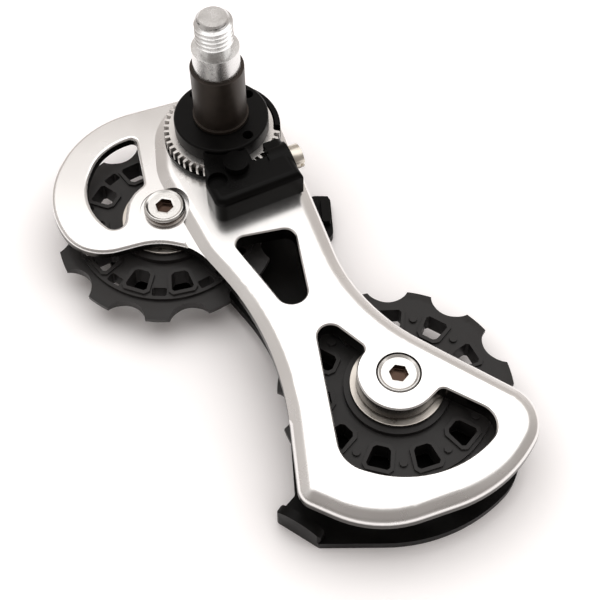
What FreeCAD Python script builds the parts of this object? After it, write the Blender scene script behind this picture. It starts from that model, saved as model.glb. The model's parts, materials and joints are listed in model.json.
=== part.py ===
"""Rear derailleur cage: two plates, two 11-tooth pulleys, a pivot stud and a worm adjuster for the cage spring.

Frame, in millimetres: +Z runs along the pivot stud, away from the cage; the origin is on the stud's axis at the
foot of the bare sleeve; +Y runs along the pulley line, from the tension pulley to the guide pulley.
"""
import FreeCAD, Part
import Sketcher
import math
import os

# Driving dimensions of the cage, one sheet cell each.
SIZES = {
    # Pivot stack, from the foot of the bare sleeve down to the outer plate.
    "collar_height": 0.9,
    "collar_gap": 0.1,
    "seat_height": 3.3,
    "ring_height": 2.0,
    "ring_gap": 0.15,
    "flange_thickness": 1.0,
    # Plates and the room between them.
    "land_height": 1.35,
    "land_taper": 60.0,
    "land_round": 3.0,
    "lobe_thickness": 1.9,
    "plate_gap": 8.4,
    "inner_thickness": 2.0,
    "edge_chamfer": 0.25,
    # Pulley axes from the pivot axis.
    "guide_x": -19.7,
    "guide_y": -2.9,
    "pulley_centres": 56.0,
    # Chain and teeth.
    "chain_pitch": 12.7,
    "pulley_teeth": 11,
    "roller_seat_radius": 4.1,
    "tip_radius": 21.2,
    "tooth_thickness": 1.9,
    "tip_thickness": 0.8,
    "bevel_foot_radius": 19.1,
    "guide_phase": 21.8,
    "tension_phase": 25.8,
    # Pulley web and hub.
    "web_radius": 17.4,
    "web_thickness": 3.2,
    "frame_thickness": 4.2,
    "frame_wall": 0.7,
    "dot_radius": 0.75,
    "dot_circle": 14.6,
    "dot_height": 0.5,
    "hub_radius": 9.5,
    "hub_thickness": 5.4,
    "pocket_inner_radius": 11.9,
    "pocket_outer_radius": 16.0,
    "pocket_inner_width": 3.0,
    "pocket_outer_width": 4.4,
    "pocket_corner": 0.5,
    "notch_width": 2.8,
    "notch_inner_radius": 14.9,
    # Pulley bearings.
    "bush_radius": 4.0,
    "cover_radius": 8.4,
    "cover_gap": 0.6,
    "cover_thickness": 0.5,
    "bolt_radius": 2.5,
    "bolt_clearance": 0.05,
    "bolt_head_radius": 3.95,
    "bolt_head_height": 1.6,
    "bolt_head_chamfer": 0.35,
    "bolt_socket_flats": 3.0,
    "bolt_socket_depth": 1.5,
    "bolt_end_gap": 0.2,
    "spot_face_radius": 4.75,
    "spot_face_sink": 0.15,
    # Plate outlines.
    "bolt_boss_radius": 7.3,
    "pivot_boss_radius": 12.6,
    "lobe_x": 2.9,
    "lobe_y": 4.9,
    "lobe_radius": 20.2,
    "lobe_window_radius": 13.6,
    "lower_end_radius": 25.7,
    "tension_window_radius": 19.9,
    "inner_boss_radius": 12.5,
    # Pivot stud, sleeve and bush.
    "sleeve_radius": 5.05,
    "sleeve_length": 12.4,
    "sleeve_foot_gap": 0.1,
    "collar_radius": 5.4,
    "shank_radius": 4.4,
    "shank_length": 4.9,
    "thread_radius": 3.5,
    "thread_length": 7.2,
    "thread_chamfer": 0.95,
    "running_clearance": 0.05,
    "pivot_bush_radius": 6.0,
    "stud_head_radius": 6.6,
    "stud_head_height": 1.5,
    "stud_head_gap": 0.1,
    "stud_socket_flats": 5.0,
    "stud_socket_depth": 3.5,
    # Spring seat.
    "seat_radius": 9.16,
    "seat_chamfer": 0.3,
    "spring_hole_radius": 1.0,
    "spring_hole_circle": 7.3,
    "spring_hole_depth": 2.4,
    "spring_hole_angle": -94.0,
    # Toothed ring and worm.
    "ring_teeth": 48,
    "ring_radius": 11.35,
    "ring_tooth_depth": 1.0,
    "ring_gap_share": 0.66,
    "ring_root_share": 0.53,
    "ring_bare_radius": 10.05,
    "ring_teeth_start": 95.0,
    "ring_teeth_end": 305.0,
    "worm_angle": -24.0,
    "worm_lift": 0.45,
    "worm_crest_radius": 2.3,
    "worm_root_radius": 1.35,
    "worm_tip_clearance": 0.15,
    "worm_crest_width": 0.26,
    "worm_base_width": 0.5,
    "worm_turns": 3,
    "worm_core_start": -3.8,
    "worm_journal_radius": 1.2,
    "worm_journal_length": 3.4,
    "worm_head_radius": 2.4,
    "worm_head_length": 2.2,
    "worm_head_gap": 0.15,
    "worm_slot_width": 0.7,
    "worm_slot_depth": 0.9,
    # Bracket, in its own turned frame: x along the worm, y towards the pivot.
    "flange_radius": 11.4,
    "guard_thickness": 1.0,
    "guard_start": -48.0,
    "guard_end": 60.0,
    "ring_clearance": 0.3,
    "tunnel_clearance": 0.3,
    "housing_left": -9.2,
    "housing_reach": 6.5,
    "housing_back": 4.8,
    "housing_height": 5.8,
    "housing_corner": 1.9,
    "housing_round": 1.6,
    "arch_start": 4.4,
    "arch_end": 8.3,
    "arch_overlap": 0.5,
    "arch_height": 6.0,
    "arch_drop": 2.7,
    "arch_shoulder": 1.0,
    "arch_wall": 0.9,
    "worm_opening": 1.0,
    "worm_opening_back": 0.3,
    "valley_reach": 3.6,
    "valley_depth": 0.3,
    "post_x": -2.3,
    "post_back": 0.45,
    "post_radius": 2.4,
    "post_height": 7.4,
    "scoop_x": -6.9,
    "scoop_reach": 1.2,
    "scoop_radius": 1.9,
    "scoop_depth": 1.2,
    "bracket_screw_offset": 4.2,
    "bracket_screw_left": -5.6,
    "bracket_screw_right": 4.6,
    "bracket_screw_radius": 1.25,
    "bracket_screw_head": 2.3,
    "bracket_screw_head_height": 1.2,
    "bracket_screw_length": 6.4,
    # Chain keepers on the inner plate.
    "keeper_thickness": 1.7,
    "tension_keeper_height": 3.8,
    "guide_keeper_height": 1.5,
}

doc = FreeCAD.newDocument("derailleur_cage")
sheet = doc.addObject("Spreadsheet::Sheet", "Sizes")
for row, (alias, number) in enumerate(SIZES.items(), start=1):
    sheet.set(f"A{row}", alias)
    sheet.set(f"B{row}", str(number))
    sheet.setAlias(f"B{row}", alias)
doc.recompute()


def value(expression):
    """The number that an expression on the sheet comes to."""
    return float(sheet.evalExpression(expression))


# Levels along Z, as expressions on the sheet.
SEAT_TOP = "-(Sizes.collar_height + Sizes.collar_gap)"
RING_TOP = f"({SEAT_TOP} - Sizes.seat_height)"
RING_BOTTOM = f"({RING_TOP} - Sizes.ring_height)"
FLANGE_TOP = f"({RING_BOTTOM} - Sizes.ring_gap)"
PLATE_TOP = f"({FLANGE_TOP} - Sizes.flange_thickness)"
LOBE_TOP = f"({PLATE_TOP} - Sizes.land_height)"
PLATE_BOTTOM = f"({LOBE_TOP} - Sizes.lobe_thickness)"
INNER_TOP = f"({PLATE_BOTTOM} - Sizes.plate_gap)"
INNER_BOTTOM = f"({INNER_TOP} - Sizes.inner_thickness)"
PULLEY_MID = f"({PLATE_BOTTOM} - Sizes.plate_gap / 2)"

# Pulley axes, as expressions for x and y.
GUIDE = ("Sizes.guide_x", "Sizes.guide_y")
TENSION = ("Sizes.guide_x", "(Sizes.guide_y - Sizes.pulley_centres)")

# The worm's axis stands this far from the pivot axis, a little above the middle of the ring.
RING_ROOT = "(Sizes.ring_radius - Sizes.ring_tooth_depth)"
WORM_DISTANCE = f"({RING_ROOT} + Sizes.worm_tip_clearance + Sizes.worm_crest_radius)"
WORM_LEVEL = f"({RING_BOTTOM} + Sizes.ring_height / 2 + Sizes.worm_lift)"
WORM_PITCH = "(2 * pi * (Sizes.ring_radius - Sizes.ring_tooth_depth / 2) / Sizes.ring_teeth)"

# Bracket screws: places along the worm, and how far they reach into the bracket.
SCREWS = {"bracket_screw_front": "Sizes.bracket_screw_left", "bracket_screw_rear": "Sizes.bracket_screw_right"}
SCREW_LINE = f"(-{WORM_DISTANCE} - Sizes.bracket_screw_offset)"
SCREW_REACH = f"(Sizes.bracket_screw_length - {PLATE_TOP} + {PLATE_BOTTOM})"


def polar(radius, degrees, centre=(0.0, 0.0)):
    """The point at a radius and an angle round a centre."""
    angle = math.radians(degrees)
    return centre[0] + radius * math.cos(angle), centre[1] + radius * math.sin(angle)


def bind(feature, **expressions):
    """Tie properties of a feature to expressions on the sheet."""
    for name, expression in expressions.items():
        feature.setExpression(name, expression)


def new_body(label, x="0", y="0", z="0"):
    """An empty body with its own label, placed by expressions."""
    body = doc.addObject("PartDesign::Body", label)
    body.Label = label
    body.setExpression("Placement.Base.x", x)
    body.setExpression("Placement.Base.y", y)
    body.setExpression("Placement.Base.z", z)
    return body


def new_sketch(body, name, z="0", x="0", y="0", plane="XY_Plane"):
    """A sketch on one of the body's own origin planes, shifted by expressions."""
    support = [feature for feature in body.Origin.OriginFeatures if feature.Role == plane][0]
    sketch = body.newObject("Sketcher::SketchObject", f"{body.Name}_{name}")
    sketch.AttachmentSupport = [(support, "")]
    sketch.MapMode = "FlatFace"
    sketch.setExpression("AttachmentOffset.Base.x", x)
    sketch.setExpression("AttachmentOffset.Base.y", y)
    sketch.setExpression("AttachmentOffset.Base.z", z)
    return sketch


def add_circle(sketch, name, radius):
    """A circle round the sketch's origin, its radius tied to an expression."""
    centre = FreeCAD.Vector(0, 0, 0)
    index = sketch.addGeometry(Part.Circle(centre, FreeCAD.Vector(0, 0, 1), value(radius)), False)
    sketch.addConstraint(Sketcher.Constraint("Coincident", index, 3, -1, 1))
    constraint = sketch.addConstraint(Sketcher.Constraint("Radius", index, value(radius)))
    sketch.renameConstraint(constraint, name)
    sketch.setExpression(f"Constraints.{name}", radius)


def add_polygon(sketch, points):
    """A closed outline of straight lines."""
    corners = [FreeCAD.Vector(x, y, 0) for x, y in points]
    for start, end in zip(corners, corners[1:] + corners[:1]):
        sketch.addGeometry(Part.LineSegment(start, end), False)


def add_rounded(sketch, corners):
    """A closed outline of lines and tangent arcs; each corner is x, y and radius, limited by its two edges.

    A corner with no radius stays sharp.
    """
    points = [FreeCAD.Vector(x, y, 0) for x, y, radius in corners]
    count = len(points)
    ways, halves, reaches = [], [], []
    for index, (x, y, radius) in enumerate(corners):
        way_in = (points[index - 1] - points[index]).normalize()
        way_out = (points[(index + 1) % count] - points[index]).normalize()
        half = way_in.getAngle(way_out) / 2
        ways.append((way_in, way_out))
        halves.append(half)
        reaches.append(radius / math.tan(half))
    shares = []
    for index in range(count):
        edge = (points[(index + 1) % count] - points[index]).Length
        wanted = reaches[index] + reaches[(index + 1) % count]
        shares.append(min(1.0, 0.995 * edge / max(wanted, 1e-6)))
    spans = []
    for index in range(count):
        reach = reaches[index] * min(shares[index - 1], shares[index])
        way_in, way_out = ways[index]
        radius = reach * math.tan(halves[index])
        inward = (way_in + way_out).normalize()
        start = points[index] + way_in * reach
        end = points[index] + way_out * reach
        middle = points[index] + inward * (math.hypot(reach, radius) - radius)
        spans.append((start, middle, end))
    for index, (start, middle, end) in enumerate(spans):
        if corners[index][2] > 0:
            sketch.addGeometry(Part.Arc(start, middle, end), False)
        sketch.addGeometry(Part.LineSegment(end, spans[(index + 1) % count][0]), False)


def arc_corners(centre, radius, start, end, pieces):
    """Corners of the tangent polygon of an arc, each rounded with the arc's own radius."""
    step = (end - start) / pieces
    reach = radius / math.cos(math.radians(step / 2))
    middles = [start + step * (index + 0.5) for index in range(pieces)]
    return [(*polar(reach, angle, centre), radius) for angle in middles]


def pad(body, name, sketch, length, midplane=False, reverse=False, taper=None):
    """Raise a sketch by a length."""
    feature = body.newObject("PartDesign::Pad", f"{body.Name}_{name}")
    feature.Profile = sketch
    feature.Midplane = midplane
    feature.Reversed = reverse
    bind(feature, Length=length)
    if taper:
        bind(feature, TaperAngle=taper)
    doc.recompute()
    return feature


def pocket(body, name, sketch, depth=None, reverse=False, midplane=False):
    """Cut a sketch to a depth, or through everything; the cut has to take material away."""
    before = body.Shape.Volume
    feature = body.newObject("PartDesign::Pocket", f"{body.Name}_{name}")
    feature.Profile = sketch
    feature.Reversed = reverse
    feature.Midplane = midplane
    if depth is None:
        feature.Type = "ThroughAll"
    else:
        bind(feature, Length=depth)
    doc.recompute()
    if body.Shape.Volume >= before:
        raise ValueError(f"{feature.Name} cuts nothing")
    return feature


def revolve(body, name, sketch, cut=False):
    """Turn a half section round the body's Z axis, as material or as a cut."""
    kind = "PartDesign::Groove" if cut else "PartDesign::Revolution"
    feature = body.newObject(kind, f"{body.Name}_{name}")
    feature.Profile = sketch
    feature.ReferenceAxis = (sketch, ["V_Axis"])
    feature.Angle = 360.0
    doc.recompute()
    return feature


def hole_edges(shape, level):
    """Names of the edges round the holes of the flat faces at a level."""
    names = []
    for face in shape.Faces:
        box = face.BoundBox
        if abs(box.ZMin - level) > 1e-4 or abs(box.ZMax - level) > 1e-4:
            continue
        holes = [wire for wire in face.Wires if not wire.isSame(face.OuterWire)]
        edges = [edge for wire in holes for edge in wire.Edges]
        for index, edge in enumerate(shape.Edges, start=1):
            if any(edge.isSame(other) for other in edges):
                names.append(f"Edge{index}")
    return names


def edges_at(shape, level, limit=math.inf):
    """Names of the edges at a level, only those in front of a limit in Y if one is given."""
    names = []
    for index, edge in enumerate(shape.Edges, start=1):
        box = edge.BoundBox
        flat = abs(box.ZMin - level) < 1e-4 and abs(box.ZMax - level) < 1e-4
        if flat and edge.CenterOfMass.y < limit:
            names.append(f"Edge{index}")
    return names


def dress(body, kind, name, edges, **sizes):
    """Chamfer or round named edges of the body's last feature."""
    base = body.Tip
    feature = body.newObject(f"PartDesign::{kind}", f"{body.Name}_{name}")
    feature.Base = (base, edges)
    bind(feature, **sizes)
    doc.recompute()
    return feature


def regular_points(radius, sides, centre=(0.0, 0.0)):
    """Corner points of a regular polygon."""
    return [polar(radius, 360.0 / sides * side, centre) for side in range(sides)]


def hexagon(across_flats):
    """Corner points of a hexagon round the origin."""
    return regular_points(across_flats / math.sqrt(3), 6)


def turned(label, points, x="0", y="0", z="0"):
    """A body turned from a half section of radius and height points."""
    body = new_body(label, x, y, z)
    sketch = new_sketch(body, "section", plane="XZ_Plane")
    add_polygon(sketch, points)
    revolve(body, "turning", sketch)
    return body


def guide_point(x, y):
    """A point given from the guide pulley's axis."""
    return value(GUIDE[0]) + x, value(GUIDE[1]) + y


def tension_point(x, y):
    """A point given from the tension pulley's axis."""
    return value(TENSION[0]) + x, value(TENSION[1]) + y


def bracket_axis(along, across):
    """Plate-frame x and y of a place in the bracket's turned frame, as expressions."""
    cosine = "cos(Sizes.worm_angle * 1 deg)"
    sine = "sin(Sizes.worm_angle * 1 deg)"
    x = f"({along} * {cosine} - {across} * {sine})"
    y = f"({along} * {sine} + {across} * {cosine})"
    return x, y


def lower_end():
    """Corners of the outer plate that its land shares, from the left flank round the tension pulley."""
    return [
        (*tension_point(-7.6, 20.7), 59.0),
        (*tension_point(-28.7, -1.5), 3.5),
        (*tension_point(-25.0, -15.1), 19.0),
        *arc_corners(tension_point(0, 0), value("Sizes.lower_end_radius"), 240.0, 280.0, 1),
        (*tension_point(12.5, -24.2), 7.5),
        (*tension_point(6.9, 14.4), 35.0),
    ]


def trapezoid_window():
    """Corners of the window in the middle of the outer plate."""
    return [
        (*guide_point(2.2, -14.6), 1.8),
        (*guide_point(-5.2, -42.8), 2.9),
        (*guide_point(12.0, -22.0), 2.2),
    ]


def tension_window():
    """Corners of the crescent window over the tension pulley, round the bolt's boss."""
    axis = tension_point(0, 0)
    boss = value("Sizes.bolt_boss_radius")
    return [
        (*tension_point(0.6, 20.3), 2.4),
        (*tension_point(-19.6, -3.2), 6.0),
        *arc_corners(axis, value("Sizes.tension_window_radius"), 205.0, 268.0, 1),
        (*tension_point(5.1, -19.7), 4.0),
        (*tension_point(2.6, -boss), 1.3),
        *arc_corners(axis, boss, 265.0, 95.0, 3),
        (*tension_point(0.3, boss), 1.3),
    ]


def guide_window():
    """Corners of the crescent window over the guide pulley."""
    axis = guide_point(0, 0)
    boss = value("Sizes.bolt_boss_radius")
    lobe = guide_point(value("Sizes.lobe_x"), value("Sizes.lobe_y"))
    return [
        (*guide_point(9.1, 16.9), 1.4),
        *arc_corners(lobe, value("Sizes.lobe_window_radius"), 62.0, 173.0, 2),
        (*guide_point(-9.9, 1.5), 2.0),
        *arc_corners(axis, boss, 130.0, 80.0, 1),
        (*guide_point(1.8, boss), 1.5),
    ]


def make_outer_plate():
    """Thin plate with the guide lobe, a bevelled land on it, windows and bolt seats."""
    body = new_body("outer_plate")
    outline = new_sketch(body, "outline", PLATE_BOTTOM)
    lobe = guide_point(value("Sizes.lobe_x"), value("Sizes.lobe_y"))
    add_rounded(outline, [
        (*guide_point(37.0, 7.5), value("Sizes.pivot_boss_radius")),
        *arc_corners(lobe, value("Sizes.lobe_radius"), 58.0, 166.0, 2),
        (*guide_point(-18.2, 3.8), 10.0),
        (*guide_point(-1.75, -6.5), 12.5),
        *lower_end(),
    ])
    pad(body, "slab", outline, "Sizes.lobe_thickness")
    land = new_sketch(body, "land_outline", LOBE_TOP)
    add_rounded(land, [
        (*guide_point(37.0, 7.5), value("Sizes.pivot_boss_radius")),
        (*guide_point(17.2, 19.9), 12.5),
        (*guide_point(4.8, 6.8), 15.0),
        (*guide_point(-3.0, -12.2), 20.0),
        *lower_end(),
    ])
    pad(body, "land", land, "Sizes.land_height", taper="-Sizes.land_taper")
    dress(body, "Fillet", "land_edge", edges_at(body.Tip.Shape, value(PLATE_TOP)), Radius="Sizes.land_round")
    for name, corners in (("middle", trapezoid_window()), ("tension", tension_window())):
        window = new_sketch(body, f"{name}_window_outline", PLATE_TOP)
        add_rounded(window, corners)
        pocket(body, f"{name}_window", window)
    dress(body, "Chamfer", "window_edges", hole_edges(body.Shape, value(PLATE_TOP)), Size="Sizes.edge_chamfer")
    lobe_window = new_sketch(body, "guide_window_outline", PLATE_TOP)
    add_rounded(lobe_window, guide_window())
    pocket(body, "guide_window", lobe_window)
    spot = new_sketch(body, "spot_outline", PLATE_TOP, *GUIDE)
    add_circle(spot, "spot", "Sizes.spot_face_radius")
    pocket(body, "spot_face", spot, "Sizes.land_height + Sizes.spot_face_sink")
    for name, axis in (("guide", GUIDE), ("tension", TENSION)):
        hole = new_sketch(body, f"{name}_hole_outline", PLATE_TOP, *axis)
        add_circle(hole, "hole", "Sizes.bolt_radius + Sizes.bolt_clearance")
        pocket(body, f"{name}_hole", hole)
    counterbore = new_sketch(body, "counterbore_outline", PLATE_TOP, *TENSION)
    add_circle(counterbore, "counterbore", "Sizes.bolt_head_radius + Sizes.bolt_clearance")
    pocket(body, "counterbore", counterbore, "Sizes.bolt_head_height")
    bore = new_sketch(body, "pivot_bore_outline", PLATE_TOP)
    add_circle(bore, "bore", "Sizes.pivot_bush_radius")
    pocket(body, "pivot_bore", bore)
    for name, place in SCREWS.items():
        axis = bracket_axis(place, SCREW_LINE)
        hole = new_sketch(body, f"{name}_hole_outline", PLATE_TOP, *axis)
        add_circle(hole, "hole", "Sizes.bracket_screw_radius + Sizes.bolt_clearance")
        pocket(body, f"{name}_hole", hole)
        sink = new_sketch(body, f"{name}_sink_outline", PLATE_BOTTOM, *axis)
        add_circle(sink, "sink", "Sizes.bracket_screw_head + Sizes.bolt_clearance")
        pocket(body, f"{name}_sink", sink, "Sizes.bracket_screw_head_height", reverse=True)
    return body


def make_inner_plate():
    """Flat plate under the pulleys, with two chain keepers that turn up at its edge."""
    body = new_body("inner_plate")
    outline = new_sketch(body, "outline", INNER_BOTTOM)
    keeper_head = (-30.5, 2.2)
    keeper_foot = (-29.4, -6.6)
    add_rounded(outline, [
        (*guide_point(12.8, -22.6), 1.5),
        (*guide_point(22.0, -23.8), 2.0),
        (*guide_point(28.9, -17.2), 1.4),
        (*guide_point(26.6, -14.4), 1.4),
        (*guide_point(14.0, -14.6), 4.0),
        *arc_corners(guide_point(0, 0), value("Sizes.inner_boss_radius"), -10.0, 235.0, 4),
        (*guide_point(-1.5, -14.2), 6.0),
        (*tension_point(-6.0, 21.0), 40.0),
        (*tension_point(-25.3, 2.2), 1.0),
        (*tension_point(*keeper_head), 0.6),
        (*tension_point(*keeper_foot), 0.6),
        (*tension_point(-14.0, -24.6), 35.0),
        (*tension_point(11.8, -26.4), 13.0),
        (*tension_point(6.9, 14.4), 35.0),
    ])
    pad(body, "slab", outline, "Sizes.inner_thickness")
    thick = value("Sizes.keeper_thickness")
    tension_keeper = new_sketch(body, "tension_keeper_outline", INNER_TOP)
    add_rounded(tension_keeper, [
        (*tension_point(*keeper_head), 0.6),
        (*tension_point(*keeper_foot), 0.6),
        (*tension_point(keeper_foot[0] + thick, keeper_foot[1]), 0.4),
        (*tension_point(keeper_head[0] + thick, keeper_head[1]), 0.4),
    ])
    pad(body, "tension_keeper", tension_keeper, "Sizes.tension_keeper_height")
    guide_keeper = new_sketch(body, "guide_keeper_outline", INNER_TOP)
    add_rounded(guide_keeper, [
        (*guide_point(23.4, -22.0), 0.4),
        (*guide_point(27.8, -17.6), 0.4),
        (*guide_point(27.8 - 0.7 * thick, -17.6 + 0.7 * thick), 0.4),
        (*guide_point(23.4 - 0.7 * thick, -22.0 + 0.7 * thick), 0.4),
    ])
    pad(body, "guide_keeper", guide_keeper, "Sizes.guide_keeper_height")
    for name, axis in (("guide", GUIDE), ("tension", TENSION)):
        hole = new_sketch(body, f"{name}_hole_outline", INNER_TOP, *axis)
        add_circle(hole, "hole", "Sizes.bolt_radius")
        pocket(body, f"{name}_hole", hole)
    return body


def tooth_outline(sketch):
    """Outline of a chain pulley: tip arcs joined by roller seats on the pitch circle."""
    teeth = int(value("Sizes.pulley_teeth"))
    tip = value("Sizes.tip_radius")
    seat = value("Sizes.roller_seat_radius")
    pitch = value("Sizes.chain_pitch") / (2 * math.sin(math.pi / teeth))
    step = 360.0 / teeth
    reach = math.degrees(math.acos((tip ** 2 + pitch ** 2 - seat ** 2) / (2 * tip * pitch)))
    for index in range(teeth):
        angle = step * index
        tip_start = FreeCAD.Vector(*polar(tip, angle - step / 2 + reach), 0)
        tip_middle = FreeCAD.Vector(*polar(tip, angle), 0)
        tip_end = FreeCAD.Vector(*polar(tip, angle + step / 2 - reach), 0)
        seat_middle = FreeCAD.Vector(*polar(pitch - seat, angle + step / 2), 0)
        seat_end = FreeCAD.Vector(*polar(tip, angle + step / 2 + reach), 0)
        sketch.addGeometry(Part.Arc(tip_start, tip_middle, tip_end), False)
        sketch.addGeometry(Part.Arc(tip_end, seat_middle, seat_end), False)


def sector_points(inner, outer, half_inner, half_outer, clip, middle):
    """Points of a trapezoid that widens away from the axis, its corners clipped."""
    slope = (half_outer - half_inner) / (outer - inner)
    side = [
        (inner, half_inner - clip),
        (inner + clip, half_inner + slope * clip),
        (outer - clip, half_outer - slope * clip),
        (outer, half_outer - clip),
    ]
    other = [(reach, -half) for reach, half in reversed(side)]
    turn = math.radians(middle)
    cosine, sine = math.cos(turn), math.sin(turn)
    return [(reach * cosine - half * sine, reach * sine + half * cosine) for reach, half in side + other]


def start_pulley(label, axis, phase):
    """Toothed rim with bevelled tips, web and hub, turned so that a tooth points at the phase angle."""
    body = new_body(label, axis[0], axis[1], PULLEY_MID)
    body.setExpression("Placement.Rotation.Angle", f"{phase} * 1 deg")
    rim = new_sketch(body, "rim_outline")
    tooth_outline(rim)
    pad(body, "rim", rim, "Sizes.tooth_thickness", midplane=True)
    bevel = new_sketch(body, "bevel_section", plane="XZ_Plane")
    tip = value("Sizes.tip_radius") * 1.01
    foot = value("Sizes.bevel_foot_radius")
    thick = value("Sizes.tooth_thickness") / 2
    thin = value("Sizes.tip_thickness") / 2
    for side in (1, -1):
        add_polygon(bevel, [(foot, side * thick), (tip, side * thick), (tip, side * thin)])
    revolve(body, "bevel", bevel, cut=True)
    web = new_sketch(body, "web_outline")
    add_circle(web, "web", "Sizes.web_radius")
    pad(body, "web", web, "Sizes.web_thickness", midplane=True)
    return body


def finish_pulley(body):
    """Hub and bearing bore."""
    hub = new_sketch(body, "hub_outline")
    add_circle(hub, "hub", "Sizes.hub_radius")
    pad(body, "hub", hub, "Sizes.hub_thickness", midplane=True)
    bore = new_sketch(body, "bore_outline")
    add_circle(bore, "bore", "Sizes.bush_radius + Sizes.running_clearance")
    pocket(body, "bore", bore, "Sizes.hub_thickness", midplane=True)


def add_frames(body):
    """Raised frames between the tooth lines, each with a pocket through it."""
    teeth = int(value("Sizes.pulley_teeth"))
    wall = value("Sizes.frame_wall")
    clip = value("Sizes.pocket_corner")
    inner = value("Sizes.pocket_inner_radius")
    outer = value("Sizes.pocket_outer_radius")
    half_inner = value("Sizes.pocket_inner_width") / 2
    half_outer = value("Sizes.pocket_outer_width") / 2
    frames = new_sketch(body, "frame_outlines")
    pockets = new_sketch(body, "pocket_outlines")
    for index in range(teeth):
        angle = 360.0 / teeth * (index + 0.5)
        ends = (inner - wall, outer + wall)
        halves = (half_inner + wall, half_outer + wall)
        add_polygon(frames, sector_points(*ends, *halves, clip + wall / 2, angle))
        add_polygon(pockets, sector_points(inner, outer, half_inner, half_outer, clip, angle))
    pad(body, "frames", frames, "Sizes.frame_thickness", midplane=True)
    pocket(body, "pockets", pockets, "Sizes.frame_thickness", midplane=True)


def make_tension_pulley():
    """Lower pulley: framed pockets, and a dot on each tooth line."""
    body = start_pulley("tension_pulley", TENSION, "Sizes.tension_phase")
    add_frames(body)
    teeth = int(value("Sizes.pulley_teeth"))
    dots = new_sketch(body, "dot_outlines")
    for index in range(teeth):
        centre = polar(value("Sizes.dot_circle"), 360.0 / teeth * index)
        add_polygon(dots, regular_points(value("Sizes.dot_radius"), 8, centre))
    pad(body, "dots", dots, "Sizes.web_thickness + 2 * Sizes.dot_height", midplane=True)
    finish_pulley(body)
    return body


def make_guide_pulley():
    """Upper pulley: framed pockets, and a square notch through the web on each tooth line."""
    body = start_pulley("guide_pulley", GUIDE, "Sizes.guide_phase")
    add_frames(body)
    teeth = int(value("Sizes.pulley_teeth"))
    half = value("Sizes.notch_width") / 2
    inner = value("Sizes.notch_inner_radius")
    outer = value("Sizes.pocket_outer_radius + Sizes.frame_wall")
    notches = new_sketch(body, "notch_outlines")
    for index in range(teeth):
        angle = 360.0 / teeth * index
        add_polygon(notches, sector_points(inner, outer, half, half, value("Sizes.pocket_corner") / 2, angle))
    pocket(body, "notches", notches, "Sizes.web_thickness", midplane=True)
    finish_pulley(body)
    return body


def make_bush(label, axis):
    """Bearing bush that spaces the plates."""
    inner = value("Sizes.bolt_radius + Sizes.bolt_clearance")
    outer = value("Sizes.bush_radius")
    length = value("Sizes.plate_gap")
    return turned(label, [(inner, 0), (outer, 0), (outer, length), (inner, length)], *axis, INNER_TOP)


def make_cover(label, axis, level, side):
    """Dust cover pressed on the bush, a flat ring that stands clear of the plate and of the pulley."""
    inner = value("Sizes.bush_radius")
    outer = value("Sizes.cover_radius")
    near = side * value("Sizes.cover_gap")
    far = near + side * value("Sizes.cover_thickness")
    return turned(label, [(inner, near), (outer, near), (outer, far), (inner, far)], *axis, level)


def make_bolt(label, axis, seat_level):
    """Pulley bolt with a hex socket; its end stays inside the inner plate."""
    head = value("Sizes.bolt_head_radius")
    height = value("Sizes.bolt_head_height")
    bevel = value("Sizes.bolt_head_chamfer")
    shank = value("Sizes.bolt_radius")
    end = value(f"{INNER_BOTTOM} + Sizes.bolt_end_gap - {seat_level}")
    body = turned(label, [
        (0, end), (shank, end), (shank, 0),
        (head, 0), (head, height - bevel), (head - bevel, height), (0, height),
    ], *axis, seat_level)
    socket = new_sketch(body, "socket_outline", "Sizes.bolt_head_height")
    add_polygon(socket, hexagon(value("Sizes.bolt_socket_flats")))
    pocket(body, "socket", socket, "Sizes.bolt_socket_depth")
    return body


def make_pivot_bolt():
    """Stud: flange head under the plate, plain shank, threaded end at its major diameter."""
    shank = value("Sizes.shank_radius")
    head = value("Sizes.stud_head_radius")
    thread = value("Sizes.thread_radius")
    bevel = value("Sizes.thread_chamfer")
    head_top = value(f"{PLATE_BOTTOM} - Sizes.stud_head_gap")
    bottom = head_top - value("Sizes.stud_head_height")
    step = value("Sizes.sleeve_length + Sizes.shank_length")
    top = step + value("Sizes.thread_length")
    body = turned("pivot_bolt", [
        (0, bottom), (head, bottom), (head, head_top), (shank, head_top), (shank, step), (thread, step),
        (thread, top - bevel), (thread - bevel, top), (0, top),
    ])
    under_head = f"{PLATE_BOTTOM} - Sizes.stud_head_gap - Sizes.stud_head_height"
    socket = new_sketch(body, "socket_outline", under_head)
    add_polygon(socket, hexagon(value("Sizes.stud_socket_flats")))
    pocket(body, "socket", socket, "Sizes.stud_socket_depth", reverse=True)
    return body


def make_pivot_sleeve():
    """Bearing sleeve on the stud, with a collar that keeps the spring seat down."""
    inner = value("Sizes.shank_radius")
    outer = value("Sizes.sleeve_radius")
    collar = value("Sizes.collar_radius")
    foot = value(f"{FLANGE_TOP} + Sizes.sleeve_foot_gap")
    under = -value("Sizes.collar_height")
    top = value("Sizes.sleeve_length")
    return turned("pivot_sleeve", [
        (inner, foot), (outer, foot), (outer, under), (collar, under),
        (collar, 0), (outer, 0), (outer, top), (inner, top),
    ])


def make_pivot_bush():
    """Bearing bush pressed in the outer plate; the bracket's flange is centred on it."""
    inner = value("Sizes.shank_radius + Sizes.running_clearance")
    outer = value("Sizes.pivot_bush_radius")
    bottom = value(PLATE_BOTTOM)
    top = value(FLANGE_TOP)
    return turned("pivot_bush", [(inner, bottom), (outer, bottom), (outer, top), (inner, top)])


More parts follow.
